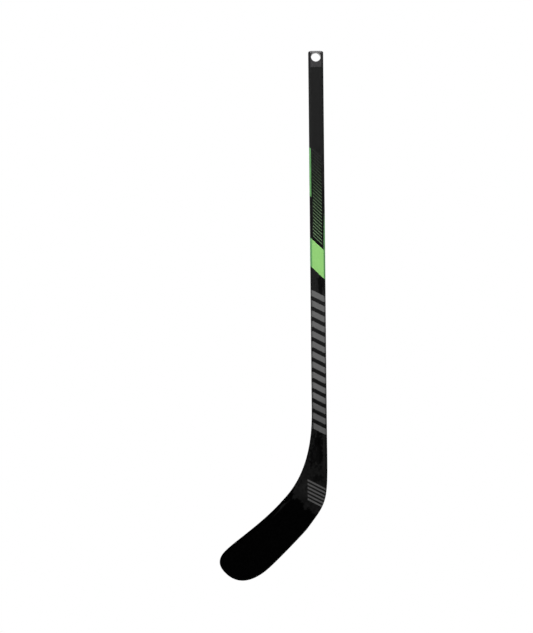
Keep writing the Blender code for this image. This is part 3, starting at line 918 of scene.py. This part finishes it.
outline = shaft_outline()
halfway_round = sum((outline[i] - outline[i - 1]).length for i in range(len(outline))) / 2
guide_curve = bpy.data.curves.new("shaft_outline", "CURVE")
guide_curve.dimensions = "3D"
spline = guide_curve.splines.new("POLY")
spline.points.add(len(outline) - 1)
for point, corner in zip(spline.points, outline):
    point.co = (corner.x, corner.y, 0, 1)
spline.use_cyclic_u = True
guide = bpy.data.objects.new("shaft_outline", guide_curve)
bpy.context.scene.collection.objects.link(guide)
bm = bmesh.new()
for piece in (shaft_tube, *blade_shells):
    bm.from_mesh(piece.data)
printed_on = add_piece("surface_to_print_on", bm)

# The tree draws the strokes on a flat sheet, rolls it round the shaft and lays it on the nearest surface.
strokes, given = new_geometry_tree("slanted_strokes_round_the_shaft", {
    "Object": ("Shaft Outline", "Surface"),
    "Int": ("Count", "Columns"),
    "Vector": ("Step",),
    "Float": ("Stroke", "Left", "Right", "Slope Left", "Slope Right", "Left Height", "Right Height"),
    "Material": ("Material",),
})
unit_stroke = add_node(strokes, "GeometryNodeMeshGrid", {"Vertices X": given["Columns"], "Vertices Y": 2})
place = add_node(strokes, "GeometryNodeInputPosition")
unit = add_node(strokes, "ShaderNodeSeparateXYZ", {0: place}).outputs
along = add_node(strokes, "ShaderNodeMapRange", {
    "Value": unit["X"],
    "From Min": -0.5,
    "From Max": 0.5,
    "To Min": given["Left"],
    "To Max": given["Right"],
})
slant = add_node(strokes, "ShaderNodeMapRange", {
    "Value": along,
    "From Min": given["Slope Left"],
    "From Max": given["Slope Right"],
    "To Min": given["Left Height"],
    "To Max": given["Right Height"],
})
height = add_node(strokes, "ShaderNodeMath", {
    "operation": "MULTIPLY_ADD", 0: unit["Y"], 1: given["Stroke"], 2: slant,
})
slanted = add_node(strokes, "ShaderNodeCombineXYZ", {"X": along, "Z": height})
stroke = add_node(strokes, "GeometryNodeSetPosition", {"Geometry": unit_stroke, "Position": slanted})
column = add_node(strokes, "GeometryNodeMeshLine", {"Count": given["Count"], "Offset": given["Step"]})
rows = add_node(strokes, "GeometryNodeInstanceOnPoints", {"Points": column, "Instance": stroke})
rows = add_node(strokes, "GeometryNodeRealizeInstances", {0: rows})
rim = add_node(strokes, "GeometryNodeObjectInfo", {"Object": given["Shaft Outline"]}).outputs["Geometry"]
perimeter = add_node(strokes, "GeometryNodeCurveLength", {0: rim})
place = add_node(strokes, "GeometryNodeInputPosition")
unrolled = add_node(strokes, "ShaderNodeSeparateXYZ", {0: place}).outputs
way_round = add_node(strokes, "ShaderNodeMath", {"operation": "WRAP", 0: unrolled["X"], 1: perimeter, 2: 0.0})
rolled = add_node(strokes, "GeometryNodeSampleCurve", {
    "mode": "LENGTH", "Curves": rim, "Length": way_round,
}).outputs["Position"]
lift = add_node(strokes, "ShaderNodeCombineXYZ", {"Z": unrolled["Z"]})
rolled = add_node(strokes, "ShaderNodeVectorMath", {"operation": "ADD", 0: rolled, 1: lift})
surface = add_node(strokes, "GeometryNodeObjectInfo", {"Object": given["Surface"]}).outputs["Geometry"]
laid = add_node(strokes, "GeometryNodeProximity", {0: surface, "Sample Position": rolled}).outputs["Position"]
rows = add_node(strokes, "GeometryNodeSetPosition", {"Geometry": rows, "Position": laid})
rows = add_node(strokes, "GeometryNodeSetMaterial", {"Geometry": rows, "Material": given["Material"]})
add_node(strokes, "NodeGroupOutput", {0: rows})

# Green screen ink, fading upwards: dark grey at the top, dull green at the band. The strokes are thinner and
# brighter than printed ones, so that they come out as wide and as bright as those at the picture's size.
hatch_ink, tree, shader, place = new_material("faded_green_screen_ink")
height = add_node(tree, "ShaderNodeSeparateXYZ", {0: place}).outputs["Z"]
fade = add_node(tree, "ShaderNodeMapRange", {
    "interpolation_type": "SMOOTHSTEP", "Value": height, "From Min": HATCH_TOP, "From Max": HATCH_BOTTOM,
})
colour = add_node(tree, "ShaderNodeMix", {"data_type": "RGBA", 0: fade, 6: "#343534", 7: "#76946e"})
set_node(tree, shader, {"Base Color": colour, "Roughness": 0.36, "Specular IOR Level": 0.35})

# Grey screen ink: mid grey, and duller where it lies on the unsealed neck.
bar_ink, tree, shader, place = new_material("grey_screen_ink")
height = add_node(tree, "ShaderNodeSeparateXYZ", {0: place}).outputs["Z"]
grain = add_node(tree, "ShaderNodeTexNoise", {"Vector": place, "Scale": INK_GRAIN, "Detail": 3.0})
grey = add_node(tree, "ShaderNodeMix", {"data_type": "RGBA", 0: grain, 6: "#656565", 7: "#6d6d6d"})
on_neck = add_node(tree, "ShaderNodeMapRange", {
    "Value": height, "From Min": BAR_DULL_START, "From Max": BAR_DULL_FULL,
})
colour = add_node(tree, "ShaderNodeMix", {"data_type": "RGBA", 0: on_neck, 6: grey, 7: "#5a5a5a"})
set_node(tree, shader, {"Base Color": colour, "Roughness": 0.36, "Specular IOR Level": 0.35})

for face, turn in (("front", 0.0), ("back", halfway_round)):
    hatching = print_film(f"green_hatching_{face}", strokes, {
        "Count": HATCH_COUNT,
        "Columns": HATCH_COLUMNS,
        "Step": (0.0, 0.0, -HATCH_PITCH),
        "Stroke": HATCH_STROKE,
        "Left": turn + HATCH_LEFT,
        "Right": turn + HATCH_RIGHT,
        "Slope Left": turn + HATCH_LEFT,
        "Slope Right": turn + HATCH_RIGHT,
        "Left Height": HATCH_TOP,
        "Right Height": HATCH_TOP - HATCH_SLOPE * (HATCH_RIGHT - HATCH_LEFT),
        "Material": hatch_ink,
    })
    bars = print_film(f"grey_bars_{face}", strokes, {
        "Count": BAR_COUNT,
        "Columns": BAR_COLUMNS,
        "Step": (0.0, 0.0, -BAR_PITCH),
        "Stroke": BAR_STROKE,
        "Left": turn + BAR_LEFT,
        "Right": turn + BAR_RIGHT,
        "Slope Left": turn - crease,
        "Slope Right": turn + crease,
        "Left Height": BAR_TOP,
        "Right Height": BAR_TOP - BAR_SLOPE * 2 * crease,
        "Material": bar_ink,
    })

# The heel mark: a row of fine slanted lines, screen-printed in grey over the neck's spray on the forehand
# side. They run off the stick's edge, and follow the moulded face under them.
HEEL_LINE_COUNT = 6
HEEL_LINE_PITCH = 0.0038
HEEL_LINE_STROKE = 0.0019
HEEL_LINE_LENGTH = 0.0210  # sideways
HEEL_LINES_MIDDLE = Vector((-0.0020, -0.4290))  # of the top line
HEEL_LINE_COLUMNS = 120
HEEL_LINE_ROWS = 8
PRINT_REACH = 0.05  # how far in front of the stick's middle the sheet starts
RUB = 700.0  # 1.4 mm each, where the ink has missed the hollows of the spray

# The tree draws the lines on a flat sheet in front of the stick, and presses it on the face behind.
marks, given = new_geometry_tree("slanted_lines_pressed_on_a_face", {
    "Object": ("Surface",),
    "Int": ("Count", "Columns", "Rows"),
    "Vector": ("Middle", "Step"),
    "Float": ("Length", "Stroke", "Slope"),
    "Material": ("Material",),
})
level_line = add_node(marks, "GeometryNodeMeshGrid", {
    "Size X": given["Length"],
    "Size Y": given["Stroke"],
    "Vertices X": given["Columns"],
    "Vertices Y": given["Rows"],
})
place = add_node(marks, "GeometryNodeInputPosition")
flat = add_node(marks, "ShaderNodeSeparateXYZ", {0: place}).outputs
height = add_node(marks, "ShaderNodeMath", {
    "operation": "MULTIPLY_ADD", 0: flat["X"], 1: given["Slope"], 2: flat["Y"],
})
slanted = add_node(marks, "ShaderNodeCombineXYZ", {"X": flat["X"], "Z": height})
line = add_node(marks, "GeometryNodeSetPosition", {"Geometry": level_line, "Position": slanted})
column = add_node(marks, "GeometryNodeMeshLine", {
    "Count": given["Count"], "Start Location": given["Middle"], "Offset": given["Step"],
})
rows = add_node(marks, "GeometryNodeInstanceOnPoints", {"Points": column, "Instance": line})
rows = add_node(marks, "GeometryNodeRealizeInstances", {0: rows})
surface = add_node(marks, "GeometryNodeObjectInfo", {"Object": given["Surface"]}).outputs["Geometry"]
place = add_node(marks, "GeometryNodeInputPosition")
pressed = add_node(marks, "GeometryNodeRaycast", {
    "Target Geometry": surface,
    "Source Position": place,
    "Ray Direction": (0, 1, 0),
    "Ray Length": 2 * PRINT_REACH,
}).outputs
missed = add_node(marks, "FunctionNodeBooleanMath", {"operation": "NOT", 0: pressed["Is Hit"]})
rows = add_node(marks, "GeometryNodeDeleteGeometry", {"Geometry": rows, "Selection": missed})
rows = add_node(marks, "GeometryNodeSetPosition", {"Geometry": rows, "Position": pressed["Hit Position"]})
rows = add_node(marks, "GeometryNodeSetMaterial", {"Geometry": rows, "Material": given["Material"]})
add_node(marks, "NodeGroupOutput", {0: rows})

# The same ink laid on thinly: darker than the bars, and rubbed.
heel_ink, tree, shader, place = new_material("thin_grey_screen_ink")
rub = add_node(tree, "ShaderNodeTexNoise", {"Vector": place, "Scale": RUB, "Detail": 3.0})
colour = add_node(tree, "ShaderNodeMix", {"data_type": "RGBA", 0: rub, 6: "#4c4c4c", 7: "#565656"})
set_node(tree, shader, {"Base Color": colour, "Roughness": 0.45, "Specular IOR Level": 0.2})

heel_lines = print_film("grey_heel_lines", marks, {
    "Middle": (HEEL_LINES_MIDDLE.x, -PRINT_REACH, HEEL_LINES_MIDDLE.y),
    "Count": HEEL_LINE_COUNT,
    "Step": (0.0, 0.0, -HEEL_LINE_PITCH),
    "Length": HEEL_LINE_LENGTH,
    "Stroke": HEEL_LINE_STROKE,
    "Slope": -BAR_SLOPE,
    "Columns": HEEL_LINE_COLUMNS,
    "Rows": HEEL_LINE_ROWS,
    "Material": heel_ink,
})
for helper in (guide, printed_on):
    bpy.data.objects.remove(helper)
